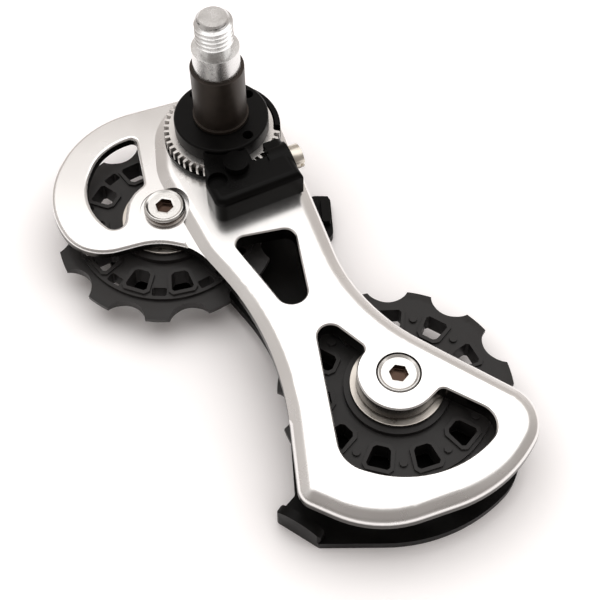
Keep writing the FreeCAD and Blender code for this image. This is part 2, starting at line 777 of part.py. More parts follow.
def make_spring_seat():
    """Disc that carries the cage spring, with three holes for the spring's leg."""
    inner = value("Sizes.sleeve_radius + Sizes.running_clearance")
    outer = value("Sizes.seat_radius")
    bevel = value("Sizes.seat_chamfer")
    bottom = value(RING_TOP)
    top = value(SEAT_TOP)
    section = [(inner, bottom), (outer, bottom), (outer, top - bevel), (outer - bevel, top), (inner, top)]
    body = turned("spring_seat", section)
    holes = new_sketch(body, "hole_outlines", SEAT_TOP)
    upward = FreeCAD.Vector(0, 0, 1)
    radius = value("Sizes.spring_hole_radius")
    for index in range(3):
        angle = value("Sizes.spring_hole_angle") + 90.0 * index
        centre = FreeCAD.Vector(*polar(value("Sizes.spring_hole_circle"), angle), 0)
        holes.addGeometry(Part.Circle(centre, upward, radius), False)
    pocket(body, "spring_holes", holes, "Sizes.spring_hole_depth")
    return body


def make_tension_ring():
    """Toothed ring under the seat; the stretch beside the guard has no teeth."""
    body = new_body("tension_ring")
    teeth = int(value("Sizes.ring_teeth"))
    step = 360.0 / teeth
    outer = value("Sizes.ring_radius")
    root = outer - value("Sizes.ring_tooth_depth")
    gap = step * value("Sizes.ring_gap_share") / 2
    root_gap = step * value("Sizes.ring_root_share") / 2
    bare = value("Sizes.ring_bare_radius")
    facing = value("Sizes.worm_angle") - 90.0
    start = value("Sizes.ring_teeth_start")
    end = value("Sizes.ring_teeth_end")
    first = math.ceil((start - facing) / step - 0.5)
    last = math.floor((end - facing) / step - 0.5)
    points = []
    for index in range(first, last + 1):
        tooth = facing + step * (index + 0.5)
        points += [polar(root, tooth - step / 2 + root_gap), polar(outer, tooth - step / 2 + gap)]
        points += [polar(outer, tooth + step / 2 - gap), polar(root, tooth + step / 2 - root_gap)]
    outline = new_sketch(body, "outline", RING_BOTTOM)
    corners = [FreeCAD.Vector(x, y, 0) for x, y in points]
    for here, there in zip(corners, corners[1:]):
        outline.addGeometry(Part.LineSegment(here, there), False)
    last_tooth = facing + step * (last + 1)
    first_tooth = facing + step * first + 360.0
    plain_start = FreeCAD.Vector(*polar(bare, last_tooth), 0)
    plain_middle = FreeCAD.Vector(*polar(bare, (last_tooth + first_tooth) / 2), 0)
    plain_end = FreeCAD.Vector(*polar(bare, first_tooth), 0)
    outline.addGeometry(Part.LineSegment(corners[-1], plain_start), False)
    outline.addGeometry(Part.Arc(plain_start, plain_middle, plain_end), False)
    outline.addGeometry(Part.LineSegment(plain_end, corners[0]), False)
    pad(body, "ring", outline, "Sizes.ring_height")
    bore = new_sketch(body, "bore_outline", RING_TOP)
    add_circle(bore, "bore", "Sizes.sleeve_radius + Sizes.running_clearance")
    pocket(body, "bore", bore)
    return body


def make_worm_screw():
    """Adjusting screw: journals, a right-hand worm in mesh with the ring, and a slotted head."""
    core = value("Sizes.worm_root_radius")
    crest = value("Sizes.worm_crest_radius")
    journal = value("Sizes.worm_journal_radius")
    head = value("Sizes.worm_head_radius")
    foot = value("Sizes.worm_core_start")
    bearing = value("Sizes.arch_start + Sizes.worm_head_gap")
    under = value("Sizes.arch_end + Sizes.worm_head_gap")
    top = under + value("Sizes.worm_head_length")
    start = foot - value("Sizes.worm_journal_length")
    body = turned("worm_screw", [
        (0, start), (journal, start), (journal, foot), (core, foot), (core, bearing), (crest, bearing),
        (crest, under), (head, under), (head, top), (0, top),
    ], *bracket_axis("0", f"-{WORM_DISTANCE}"), WORM_LEVEL)
    pitch = value(WORM_PITCH)
    base = value("Sizes.worm_base_width") / 2
    tip = value("Sizes.worm_crest_width") / 2
    drop = math.degrees(math.asin(value("Sizes.worm_lift") / (core + crest) * 2))
    middle = -pitch * ((90.0 - drop) / 360.0 + math.floor(value("Sizes.worm_turns") / 2))
    inside = core * 0.9
    thread = new_sketch(body, "thread_section", plane="XZ_Plane")
    add_polygon(thread, [
        (inside, middle - base), (crest, middle - tip), (crest, middle + tip), (inside, middle + base),
    ])
    helix = body.newObject("PartDesign::AdditiveHelix", "worm_screw_thread")
    helix.Profile = thread
    helix.ReferenceAxis = (thread, ["V_Axis"])
    helix.Mode = "pitch-turns-angle"
    bind(helix, Pitch=WORM_PITCH, Turns="Sizes.worm_turns")
    doc.recompute()
    slot = new_sketch(body, "slot_outline", "Sizes.arch_end + Sizes.worm_head_gap + Sizes.worm_head_length")
    half = value("Sizes.worm_slot_width") / 2
    long = head * 1.1
    add_polygon(slot, [(-half, -long), (half, -long), (half, long), (-half, long)])
    pocket(body, "slot", slot, "Sizes.worm_slot_depth")
    turn = FreeCAD.Rotation(FreeCAD.Vector(0, 0, 1), value("Sizes.worm_angle"))
    lay = FreeCAD.Rotation(FreeCAD.Vector(0, 1, 0), 90.0)
    body.Placement = FreeCAD.Placement(body.Placement.Base, turn.multiply(lay))
    return body


def make_worm_bracket():
    """Moulded bracket: flange under the ring, worm housing with its barrel, round post, guard."""
    body = new_body("worm_bracket")
    body.setExpression("Placement.Rotation.Angle", "Sizes.worm_angle * 1 deg")
    flange = new_sketch(body, "flange_outline", PLATE_TOP)
    add_circle(flange, "flange", "Sizes.flange_radius")
    pad(body, "flange", flange, "Sizes.flange_thickness")
    left = value("Sizes.housing_left")
    near = -value(WORM_DISTANCE)
    front = near - value("Sizes.housing_reach")
    inner = near + value("Sizes.housing_back")
    rear = near + value("Sizes.worm_crest_radius + Sizes.arch_wall")
    start = value("Sizes.arch_start")
    end = value("Sizes.arch_end")
    housing = new_sketch(body, "housing_outline", PLATE_TOP)
    add_rounded(housing, [
        (left + 2.8, inner + 2.2, 0.8), (left, front + 5.5, 0), (left, front, value("Sizes.housing_corner")),
        (end, front, 0), (end, rear, 0), (start, rear, 0), (start, inner, 0.2), (0, inner, 2.0),
    ])
    pad(body, "housing", housing, "Sizes.housing_height")
    housing_top = value(f"{PLATE_TOP} + Sizes.housing_height")
    front_edges = edges_at(body.Tip.Shape, housing_top, front + 5.0)
    dress(body, "Fillet", "housing_round", front_edges, Radius="Sizes.housing_round")
    arch = new_sketch(body, "arch_outline", "Sizes.arch_start - Sizes.arch_overlap", plane="YZ_Plane")
    bottom = value(PLATE_TOP)
    top = bottom + value("Sizes.arch_height")
    add_rounded(arch, [
        (front, bottom, 0), (front, top - value("Sizes.arch_drop"), 2.0),
        (near - value("Sizes.arch_shoulder"), top, 5.0), (rear, top, 2.6), (rear, bottom, 0),
    ])
    pad(body, "arch", arch, "Sizes.arch_end - Sizes.arch_start + Sizes.arch_overlap")
    axis = {"x": f"-{WORM_DISTANCE}", "y": WORM_LEVEL, "plane": "YZ_Plane"}
    post = new_sketch(body, "post_outline", PLATE_TOP, "Sizes.post_x", f"Sizes.post_back - {WORM_DISTANCE}")
    add_circle(post, "post", "Sizes.post_radius")
    pad(body, "post", post, "Sizes.post_height")
    scoop_place = ("Sizes.scoop_x", f"-{WORM_DISTANCE} - Sizes.scoop_reach")
    scoop = new_sketch(body, "scoop_outline", f"{PLATE_TOP} + Sizes.housing_height", *scoop_place)
    add_circle(scoop, "scoop", "Sizes.scoop_radius")
    pocket(body, "scoop", scoop, "Sizes.scoop_depth")
    ring_room = new_sketch(body, "ring_room_outline", f"{RING_TOP} + Sizes.ring_clearance")
    add_circle(ring_room, "ring_room", "Sizes.ring_radius + Sizes.ring_clearance")
    pocket(body, "ring_room", ring_room, "Sizes.ring_height + Sizes.ring_gap + Sizes.ring_clearance")
    seat_room = new_sketch(body, "seat_room_outline", f"{PLATE_TOP} + Sizes.post_height")
    add_circle(seat_room, "seat_room", "Sizes.seat_radius + Sizes.ring_clearance")
    pocket(body, "seat_room", seat_room, "Sizes.post_height - Sizes.flange_thickness")
    tunnel = new_sketch(body, "tunnel_outline", "Sizes.arch_start", **axis)
    add_circle(tunnel, "tunnel", "Sizes.worm_crest_radius + Sizes.tunnel_clearance")
    pocket(body, "tunnel", tunnel, "Sizes.arch_start - Sizes.worm_core_start + Sizes.ring_clearance")
    bearing = new_sketch(body, "bearing_outline", "2 * Sizes.arch_end", **axis)
    add_circle(bearing, "bearing", "Sizes.worm_crest_radius + Sizes.running_clearance")
    pocket(body, "bearing", bearing, "2 * Sizes.arch_end - Sizes.arch_start")
    journal = new_sketch(body, "journal_outline", "Sizes.worm_core_start", **axis)
    add_circle(journal, "journal", "Sizes.worm_journal_radius + Sizes.running_clearance")
    pocket(body, "journal", journal, "Sizes.worm_journal_length + Sizes.ring_clearance")
    opening = new_sketch(body, "opening_outline", f"{PLATE_TOP} + Sizes.post_height")
    begin = value("Sizes.worm_opening")
    back = near + value("Sizes.worm_opening_back")
    add_polygon(opening, [(begin, back), (start, back), (start, 0), (begin, 0)])
    pocket(body, "opening", opening, f"{PLATE_TOP} + Sizes.post_height - {WORM_LEVEL}")
    valley = new_sketch(body, "valley_outline", f"{PLATE_TOP} + Sizes.housing_height")
    add_polygon(valley, [(begin, back), ((begin + start) / 2, near - value("Sizes.valley_reach")), (start, back)])
    pocket(body, "valley", valley, "Sizes.valley_depth")
    guard = new_sketch(body, "guard_outline", FLANGE_TOP)
    outer = value("Sizes.flange_radius")
    inside = outer - value("Sizes.guard_thickness")
    begin = value("Sizes.guard_start - Sizes.worm_angle")
    finish = value("Sizes.guard_end - Sizes.worm_angle")
    ends = [FreeCAD.Vector(*polar(radius, angle), 0) for radius in (inside, outer) for angle in (begin, finish)]
    halfway = (begin + finish) / 2
    guard.addGeometry(Part.Arc(ends[0], FreeCAD.Vector(*polar(inside, halfway), 0), ends[1]), False)
    guard.addGeometry(Part.LineSegment(ends[1], ends[3]), False)
    guard.addGeometry(Part.Arc(ends[3], FreeCAD.Vector(*polar(outer, halfway), 0), ends[2]), False)
    guard.addGeometry(Part.LineSegment(ends[2], ends[0]), False)
    pad(body, "guard", guard, "Sizes.ring_height")
    bore = new_sketch(body, "bore_outline", FLANGE_TOP)
    add_circle(bore, "bore", "Sizes.pivot_bush_radius")
    pocket(body, "bore", bore, "Sizes.flange_thickness")
    for name, place in SCREWS.items():
        hole = new_sketch(body, f"{name}_hole_outline", PLATE_TOP, place, SCREW_LINE)
        add_circle(hole, "hole", "Sizes.bracket_screw_radius")
        pocket(body, f"{name}_hole", hole, SCREW_REACH, reverse=True)
    return body


def make_bracket_screw(label, place):
    """Cheese-head screw, its head sunk in the underside of the outer plate."""
    head = value("Sizes.bracket_screw_head")
    shank = value("Sizes.bracket_screw_radius")
    height = value("Sizes.bracket_screw_head_height")
    length = value("Sizes.bracket_screw_length")
    section = [(0, 0), (head, 0), (head, height), (shank, height), (shank, length), (0, length)]
    body = turned(label, section, *bracket_axis(place, SCREW_LINE), PLATE_BOTTOM)
    socket = new_sketch(body, "socket_outline")
    add_polygon(socket, hexagon(1.2 * shank))
    pocket(body, "socket", socket, "Sizes.bracket_screw_head_height", reverse=True)
    return body


def main():
    """Build every sub-part, check it and write its file."""
    parts = [
        make_outer_plate(),
        make_inner_plate(),
        make_guide_pulley(),
        make_tension_pulley(),
        make_bolt("guide_bolt", GUIDE, f"({LOBE_TOP} - Sizes.spot_face_sink)"),
        make_bolt("tension_bolt", TENSION, f"({PLATE_TOP} - Sizes.bolt_head_height)"),
        make_bush("guide_bush", GUIDE),
        make_bush("tension_bush", TENSION),
        make_cover("guide_cover_outer", GUIDE, PLATE_BOTTOM, -1),
        make_cover("guide_cover_inner", GUIDE, INNER_TOP, 1),
        make_cover("tension_cover_outer", TENSION, PLATE_BOTTOM, -1),
        make_cover("tension_cover_inner", TENSION, INNER_TOP, 1),
        make_pivot_bolt(),
        make_pivot_sleeve(),
        make_pivot_bush(),
        make_spring_seat(),
        make_tension_ring(),
        make_worm_bracket(),
        make_worm_screw(),
        *[make_bracket_screw(label, place) for label, place in SCREWS.items()],
    ]
    doc.recompute()
    for feature in doc.Objects:
        if "Invalid" in feature.State or "Error" in feature.State:
            raise ValueError(f"{feature.Name} failed")
    os.makedirs("parts", exist_ok=True)
    for part in parts:
        if part.Shape.isNull() or not part.Shape.isValid():
            raise ValueError(f"{part.Label} has no valid shape")
    for part in parts:
        part.Shape.exportStep(f"parts/{part.Label}.step")
        print(part.Label, round(part.Shape.Volume, 2), len(part.Shape.Solids))


main()
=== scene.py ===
"""Looks of a rear derailleur cage: plates, toothed pulleys, pivot stud and worm adjuster."""
import json
import math

import bmesh
import bpy
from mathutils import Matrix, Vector
from mathutils.geometry import intersect_point_line


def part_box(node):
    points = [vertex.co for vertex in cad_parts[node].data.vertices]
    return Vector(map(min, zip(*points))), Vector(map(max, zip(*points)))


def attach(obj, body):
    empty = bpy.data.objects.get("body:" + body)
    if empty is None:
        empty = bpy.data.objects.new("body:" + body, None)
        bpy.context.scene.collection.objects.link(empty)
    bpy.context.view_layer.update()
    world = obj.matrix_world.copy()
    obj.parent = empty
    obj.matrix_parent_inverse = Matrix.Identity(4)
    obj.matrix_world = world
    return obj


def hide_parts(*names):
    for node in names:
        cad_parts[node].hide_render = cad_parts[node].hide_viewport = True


bl_info = {
    "name": "Rear derailleur cage",
    "version": (1, 0, 0),
    "blender": (4, 5, 0),
    "location": "View3D > Sidebar > Cage",
    "description": "Finishes the pieces of a rear derailleur cage and sets a plain studio round it",
    "category": "Object",
}

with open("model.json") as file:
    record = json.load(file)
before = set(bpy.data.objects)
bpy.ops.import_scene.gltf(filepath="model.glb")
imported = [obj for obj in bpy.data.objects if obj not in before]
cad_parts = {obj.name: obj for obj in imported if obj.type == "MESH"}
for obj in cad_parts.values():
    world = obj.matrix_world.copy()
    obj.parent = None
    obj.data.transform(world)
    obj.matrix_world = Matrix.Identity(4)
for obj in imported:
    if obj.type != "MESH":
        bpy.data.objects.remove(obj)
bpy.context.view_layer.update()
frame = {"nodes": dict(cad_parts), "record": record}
MM = 0.001

# Gaps: points that are joined, points that lie on a cut, and points at one level
WELD_GAP = 0.002 * MM
CUT_GAP = 0.001 * MM
LEVEL_GAP = 0.02 * MM

# Turns at an edge, in degrees: taken as flat, shaded sharp, rounded off, rounded off on the inner plate
FLAT_TURN = 0.3
SHARP_TURN = 28.0
CRISP_TURN = 25.0
SHEET_TURN = 40.0

# Lowest and highest turns of the outer plate's edges at the lobe's level, in degrees
FOOT_TURNS = (20.0, 40.0)
RIM_TURNS = (42.0, 180.0)
BEVEL_TURNS = (42.0, 80.0)
WALL_TURNS = (80.0, 100.0)

# Steps of the rounded edges, cuts to each side of the keeper's middle, and steps in a turn of the thread
EDGE_STEPS = 2
BRACKET_STEPS = 3
WINDOW_STEPS = 4
RIM_STEPS = 5
KEEPER_CUTS = 8
THREAD_STEPS = 32

# Shares of the pitch at which the thread's ridge leaves the root and reaches the crest
RIDGE_FOOT = 0.12
RIDGE_CREST = 0.44

# Noise at the two limits of a roughness and of a colour, and the clouds' share of the grain's scale
ROUGHNESS_NOISE = (0.3, 0.7)
COLOUR_NOISE = (0.32, 0.68)
CLOUD_SCALE = 0.16

# Turned metal: scale of its grain, and the factors between which its roughness and colour vary
TURNED_GRAIN = 2500.0
TURNED_ROUGHNESS = (0.8, 1.2)
TURNED_SHADES = (0.94, 1.05)

# Stage: sensor in millimetres, nearest distance seen, half the floor's width, paper, and the room's fade
SENSOR_WIDTH = 36.0
CLIP_START = 0.01
FLOOR_HALF = 3.0
PAPER_ROUGHNESS = 0.9
ROOM_FADE = 0.8


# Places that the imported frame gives
def middle(node):
    """The centre of a node's box."""
    low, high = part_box(node)
    return (Vector(low) + Vector(high)) / 2


def mount(name):
    """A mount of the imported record."""
    return next(entry for entry in frame["record"]["mounts"] if entry["name"] == name)


def highest_beyond(node, radius):
    """The highest point of a node that lies further than a radius from the pivot axis."""
    verts = frame["nodes"][node].data.vertices
    return max(vert.co.z for vert in verts if vert.co.xy.length > radius)


def lobe_level(beside):
    """Height of the outer plate's flat lobe, some way beside the guide pulley's axis."""
    guide = middle("guide_pulley")
    verts = frame["nodes"]["outer_plate"].data.vertices
    return max(vert.co.z for vert in verts if vert.co.x < guide.x - beside and vert.co.y > guide.y)


FLOOR_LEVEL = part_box("inner_plate")[0][2]
LOBE_LEVEL = lobe_level(beside=10 * MM)
STUD_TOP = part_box("pivot_bolt")[1][2]
THREAD_RADIUS = mount("pivot_thread")["dims"]["r_mm"] * MM
OFF_THREAD = 1.1 * THREAD_RADIUS
ON_CREST = 0.99 * THREAD_RADIUS
THREAD_FOOT = highest_beyond("pivot_bolt", OFF_THREAD)
THREAD_BEVEL = STUD_TOP - highest_beyond("pivot_bolt", ON_CREST)


class CageSizes(bpy.types.PropertyGroup):
    """Sizes of the details that the looks add."""

    rim_round: bpy.props.FloatProperty(
        name="Rim rounding", default=0.9 * MM, unit="LENGTH",
        description="Rounding of the outer plate's rim, under the land's bevel and on the lobe")
    window_round: bpy.props.FloatProperty(
        name="Window rounding", default=0.7 * MM, unit="LENGTH",
        description="Rounding of the guide window's upper edge")
    head_rim: bpy.props.FloatProperty(
        name="Head rim", default=0.5 * MM, unit="LENGTH",
        description="Width of the raised rim of a bolt's head")
    head_dish: bpy.props.FloatProperty(
        name="Head dish", default=0.22 * MM, unit="LENGTH",
        description="Depth of a bolt's head behind its rim")
    keeper_drop: bpy.props.FloatProperty(
        name="Keeper drop", default=2.0 * MM, unit="LENGTH",
        description="How far the tall chain keeper's top falls at its ends")
    moulded_edge: bpy.props.FloatProperty(
        name="Moulded edge", default=0.16 * MM, unit="LENGTH",
        description="Rounding of the edges of the plastic pieces and the inner plate")
    turned_edge: bpy.props.FloatProperty(
        name="Turned edge", default=0.10 * MM, unit="LENGTH",
        description="Rounding of the edges of bolts, covers, bushes, stud and seat")
    # Painted shade: the radius of the dark colour painted inside a bolt's socket
    socket_reach: bpy.props.FloatProperty(
        name="Socket reach", default=1.9 * MM, unit="LENGTH",
        description="Radius inside which a bolt's socket is dark")
    thread_pitch: bpy.props.FloatProperty(
        name="Thread pitch", default=1.0 * MM, unit="LENGTH",
        description="Distance from crest to crest of the stud's thread")
    thread_depth: bpy.props.FloatProperty(
        name="Thread depth", default=0.55 * MM, unit="LENGTH",
        description="Depth of the stud's thread")
    thread_relief: bpy.props.FloatProperty(
        name="Thread relief", default=0.7 * MM, unit="LENGTH",
        description="Plain groove between the thread and the shank")
    stud_cut: bpy.props.FloatProperty(
        name="Stud cut", default=0.01 * MM, unit="LENGTH",
        description="How far above the thread's foot the stud's plain end is cut off")


class CageLooks(bpy.types.PropertyGroup):
    """Colours of the finishes, and of the shade painted on walls and in sockets."""

    plate: bpy.props.FloatVectorProperty(
        name="Plate", subtype="COLOR", default=(0.84, 0.83, 0.82),
        description="Polished aluminium")
    # Painted shade: a dark colour on all the outer plate's upright walls, standing in for the shade and dark
    # reflections in its windows and under its rim
    wall_shade: bpy.props.FloatVectorProperty(
        name="Plate walls", subtype="COLOR", default=(0.055, 0.05, 0.046),
        description="Dull walls of the plate's edges and windows")
    inner: bpy.props.FloatVectorProperty(
        name="Inner plate", subtype="COLOR", default=(0.0035, 0.0033, 0.003),
        description="Black anodised plate")
    pulley: bpy.props.FloatVectorProperty(
        name="Pulleys", subtype="COLOR", default=(0.020, 0.0185, 0.018),
        description="Charcoal moulded plastic")
    steel: bpy.props.FloatVectorProperty(
        name="Bolts", subtype="COLOR", default=(0.72, 0.71, 0.69),
        description="Stainless steel")
    # Painted shade: a dark colour on the upright sides of the bolts' heads, standing in for a shadowed rim
    bolt_side_shade: bpy.props.FloatVectorProperty(
        name="Bolt sides", subtype="COLOR", default=(0.2, 0.17, 0.15),
        description="Dull sides of the bolts' heads")
    # Painted shade: a dark brown inside the bolts' sockets, in place of the shade that falls in them
    socket: bpy.props.FloatVectorProperty(
        name="Sockets", subtype="COLOR", default=(0.07, 0.045, 0.034),
        description="Dull brown inside the bolts' sockets")
    cover: bpy.props.FloatVectorProperty(
        name="Dust covers", subtype="COLOR", default=(0.60, 0.56, 0.51),
        description="Pressed steel, a little warm")
    zinc: bpy.props.FloatVectorProperty(
        name="Stud", subtype="COLOR", default=(0.76, 0.76, 0.755),
        description="Bright zinc plating")
    sleeve: bpy.props.FloatVectorProperty(
        name="Sleeve", subtype="COLOR", default=(0.038, 0.029, 0.023),
        description="Dark oxide on the bearing sleeve")
    bronze: bpy.props.FloatVectorProperty(
        name="Pivot bush", subtype="COLOR", default=(0.42, 0.29, 0.16),
        description="Sintered bronze")
    seat: bpy.props.FloatVectorProperty(
        name="Spring seat", subtype="COLOR", default=(0.0045, 0.0042, 0.004),
        description="Black moulded plastic")
    ring: bpy.props.FloatVectorProperty(
        name="Toothed ring", subtype="COLOR", default=(0.70, 0.68, 0.66),
        description="Bare machined metal")
    bracket: bpy.props.FloatVectorProperty(
        name="Bracket", subtype="COLOR", default=(0.0015, 0.0014, 0.0013),
        description="Glossy black plastic")
    worm: bpy.props.FloatVectorProperty(
        name="Worm screw", subtype="COLOR", default=(0.66, 0.62, 0.55),
        description="Nickel plate, slightly warm")


class CageStage(bpy.types.PropertyGroup):
    """Camera, lamps and floor."""

    camera_place: bpy.props.FloatVectorProperty(
        name="Camera place", subtype="TRANSLATION", default=(-105.7 * MM, -108.95 * MM, 170.98 * MM),
        description="Where the camera stands")
    camera_aim: bpy.props.FloatVectorProperty(
        name="Camera aim", subtype="TRANSLATION", default=(-19.42 * MM, -36.27 * MM, -7.45 * MM),
        description="The point in the middle of the picture")
    lens: bpy.props.FloatProperty(
        name="Lens", default=70.44,
        description="Focal length on a 36 mm sensor, in millimetres")
    softbox_strength: bpy.props.FloatProperty(
        name="Softbox", default=1.25,
        description="Radiance of the overhead softbox")
    softbox_height: bpy.props.FloatProperty(
        name="Softbox height", default=0.5, unit="LENGTH",
        description="Height of the softbox over the cage")
    softbox_front: bpy.props.FloatProperty(
        name="Softbox front", default=0.14, unit="LENGTH",
        description="Reach of the softbox from the cage towards the camera")
    softbox_back: bpy.props.FloatProperty(
        name="Softbox back", default=0.41, unit="LENGTH",
        description="Reach of the softbox from the cage away from the camera")
    softbox_left: bpy.props.FloatProperty(
        name="Softbox left", default=0.42, unit="LENGTH",
        description="Reach of the softbox to the camera's left")
    softbox_right: bpy.props.FloatProperty(
        name="Softbox right", default=0.55, unit="LENGTH",
        description="Reach of the softbox to the camera's right")
    card_strength: bpy.props.FloatProperty(
        name="Card", default=0.12,
        description="Radiance of the white card on the left")
    card_left: bpy.props.FloatProperty(
        name="Card distance", default=0.45, unit="LENGTH",
        description="How far to the camera's left the card stands")
    card_height: bpy.props.FloatProperty(
        name="Card height", default=0.28, unit="LENGTH",
        description="Height of the card's middle over the cage")
    card_width: bpy.props.FloatProperty(
        name="Card width", default=0.5, unit="LENGTH",
        description="Width of the card")
    card_depth: bpy.props.FloatProperty(
        name="Card depth", default=0.4, unit="LENGTH",
        description="The card's size across its width")
    room_front: bpy.props.FloatProperty(
        name="Room in front", default=0.28,
        description="Radiance of the room on the camera's side")
    room_back: bpy.props.FloatProperty(
        name="Room behind", default=0.62,
        description="Radiance of the room behind the cage")
    room_colour: bpy.props.FloatVectorProperty(
        name="Room colour", subtype="COLOR", default=(1.0, 0.925, 0.875),
        description="Slightly warm white")
    floor: bpy.props.FloatVectorProperty(
        name="Floor", subtype="COLOR", default=(0.96, 0.935, 0.935),
        description="White seamless paper")
    floor_lift: bpy.props.FloatProperty(
        name="Floor lift", default=0.42,
        description="White that the open floor adds for the camera and for reflections")
    shadow_reach: bpy.props.FloatProperty(
        name="Shadow reach", default=0.04, unit="LENGTH",
        description="Distance to the cage within which the floor's lift fades")
    shadow_depth: bpy.props.FloatProperty(
        name="Shadow depth", default=3.0,
        description="How steeply the floor's lift fades beside the cage")


# Shader node helpers
def new_material(name):
    """A node material with only a Principled shader and its output."""
    material = bpy.data.materials.new(name)
    material.use_nodes = True
    nodes = material.node_tree.nodes
    nodes.clear()
    output = nodes.new("ShaderNodeOutputMaterial")
    shader = nodes.new("ShaderNodeBsdfPrincipled")
    material.node_tree.links.new(shader.outputs["BSDF"], output.inputs["Surface"])
    return material, shader


def new_group(name, vector, numbers, outputs):
    """A shader node group with a vector input, number inputs with defaults, and number outputs."""
    group = bpy.data.node_groups.new(name, "ShaderNodeTree")
    group.interface.new_socket(vector, in_out="INPUT", socket_type="NodeSocketVector")
    for socket, default in numbers.items():
        made = group.interface.new_socket(socket, in_out="INPUT", socket_type="NodeSocketFloat")
        made.default_value = default
    for socket in outputs:
        group.interface.new_socket(socket, in_out="OUTPUT", socket_type="NodeSocketFloat")
    entry = group.nodes.new("NodeGroupInput")
    leave = group.nodes.new("NodeGroupOutput")
    return group, entry, leave


def add_math(tree, operation, kind="ShaderNodeMath"):
    """A maths node in a node tree, with its operation set."""
    node = tree.nodes.new(kind)
    node.operation = operation
    return node


def axis_distance(group, vector):
    """Distance of a point from the Z axis, as a socket in a node group."""
    flat = add_math(group, "MULTIPLY", "ShaderNodeVectorMath")
    flat.inputs[1].default_value = (1.0, 1.0, 0.0)
    reach = add_math(group, "LENGTH", "ShaderNodeVectorMath")
    group.links.new(vector, flat.inputs[0])
    group.links.new(flat.outputs["Vector"], reach.inputs[0])
    return reach.outputs["Value"]


def grain_group():
    """Fine grain: a roughness between two limits, a height for a bump, and clouds for a colour."""
    name = "fine_grain"
    if name in bpy.data.node_groups:
        return bpy.data.node_groups[name]
    group, entry, leave = new_group(
        name, "Vector", {"Scale": 900.0, "Low": 0.3, "High": 0.4}, ("Roughness", "Height", "Cloud"))
    nodes, links = group.nodes, group.links
    fine = nodes.new("ShaderNodeTexNoise")
    fine.inputs["Detail"].default_value = 4.0
    broad = nodes.new("ShaderNodeTexNoise")
    broad.inputs["Detail"].default_value = 3.0
    widen = add_math(group, "MULTIPLY")
    widen.inputs[1].default_value = CLOUD_SCALE
    spread = nodes.new("ShaderNodeMapRange")
    spread.inputs["From Min"].default_value = ROUGHNESS_NOISE[0]
    spread.inputs["From Max"].default_value = ROUGHNESS_NOISE[1]
    links.new(entry.outputs["Vector"], fine.inputs["Vector"])
    links.new(entry.outputs["Vector"], broad.inputs["Vector"])
    links.new(entry.outputs["Scale"], fine.inputs["Scale"])
    links.new(entry.outputs["Scale"], widen.inputs[0])
    links.new(widen.outputs["Value"], broad.inputs["Scale"])
    links.new(broad.outputs["Fac"], spread.inputs["Value"])
    links.new(entry.outputs["Low"], spread.inputs["To Min"])
    links.new(entry.outputs["High"], spread.inputs["To Max"])
    links.new(spread.outputs["Result"], leave.inputs["Roughness"])
    links.new(fine.outputs["Fac"], leave.inputs["Height"])
    links.new(broad.outputs["Fac"], leave.inputs["Cloud"])
    return group


def turning_group():
    """Fine rings left by a lathe round the Z axis, as a height."""
    name = "lathe_rings"
    if name in bpy.data.node_groups:
        return bpy.data.node_groups[name]
    group, entry, leave = new_group(name, "Vector", {"Rings": 3000.0}, ("Height",))
    count = add_math(group, "MULTIPLY")
    lines = group.nodes.new("ShaderNodeTexNoise")
    lines.noise_dimensions = "1D"
    lines.inputs["Scale"].default_value = 1.0
    lines.inputs["Detail"].default_value = 2.0
    links = group.links
    links.new(axis_distance(group, entry.outputs["Vector"]), count.inputs[0])
    links.new(entry.outputs["Rings"], count.inputs[1])
    links.new(count.outputs["Value"], lines.inputs["W"])
    links.new(lines.outputs["Fac"], leave.inputs["Height"])
    return group


def recess_group():
    """A mask that is 1 within a radius of the Z axis and below a level, as inside a bolt's socket."""
    name = "recess"
    if name in bpy.data.node_groups:
        return bpy.data.node_groups[name]
    group, entry, leave = new_group(name, "Vector", {"Radius": 0.002, "Level": 0.0}, ("Mask",))
    parts = group.nodes.new("ShaderNodeSeparateXYZ")
    inside = add_math(group, "LESS_THAN")
    below = add_math(group, "LESS_THAN")
    both = add_math(group, "MULTIPLY")
    links = group.links
    links.new(entry.outputs["Vector"], parts.inputs["Vector"])
    links.new(axis_distance(group, entry.outputs["Vector"]), inside.inputs[0])
    links.new(entry.outputs["Radius"], inside.inputs[1])
    links.new(parts.outputs["Z"], below.inputs[0])
    links.new(entry.outputs["Level"], below.inputs[1])
    links.new(inside.outputs["Value"], both.inputs[0])
    links.new(below.outputs["Value"], both.inputs[1])
    links.new(both.outputs["Value"], leave.inputs["Mask"])
    return group


def upright_group():
    """A mask that is 1 on upright walls and fades to 0 on level surfaces."""
    name = "upright_walls"
    if name in bpy.data.node_groups:
        return bpy.data.node_groups[name]
    group, entry, leave = new_group(name, "Normal", {"Wall": 0.1, "Level": 0.45}, ("Mask",))
    parts = group.nodes.new("ShaderNodeSeparateXYZ")
    slope = add_math(group, "ABSOLUTE")
    fade = group.nodes.new("ShaderNodeMapRange")
    fade.interpolation_type = "SMOOTHSTEP"
    fade.inputs["To Min"].default_value = 1.0
    fade.inputs["To Max"].default_value = 0.0
    links = group.links
    links.new(entry.outputs["Normal"], parts.inputs["Vector"])
    links.new(parts.outputs["Z"], slope.inputs[0])
    links.new(slope.outputs["Value"], fade.inputs["Value"])
    links.new(entry.outputs["Wall"], fade.inputs["From Min"])
    links.new(entry.outputs["Level"], fade.inputs["From Max"])
    links.new(fade.outputs["Result"], leave.inputs["Mask"])
    return group


def add_group(material, group, **values):
    """Place a node group in a material, with its own values."""
    node = material.node_tree.nodes.new("ShaderNodeGroup")
    node.node_tree = group
    for socket, number in values.items():
        node.inputs[socket].default_value = number
    return node


def object_vector(material, centre):
    """Object coordinates from a centre."""
    nodes, links = material.node_tree.nodes, material.node_tree.links
    place = nodes.new("ShaderNodeTexCoord")
    shift = nodes.new("ShaderNodeMapping")
    shift.inputs["Location"].default_value = -Vector(centre)
    links.new(place.outputs["Object"], shift.inputs["Vector"])
    return shift.outputs["Vector"]


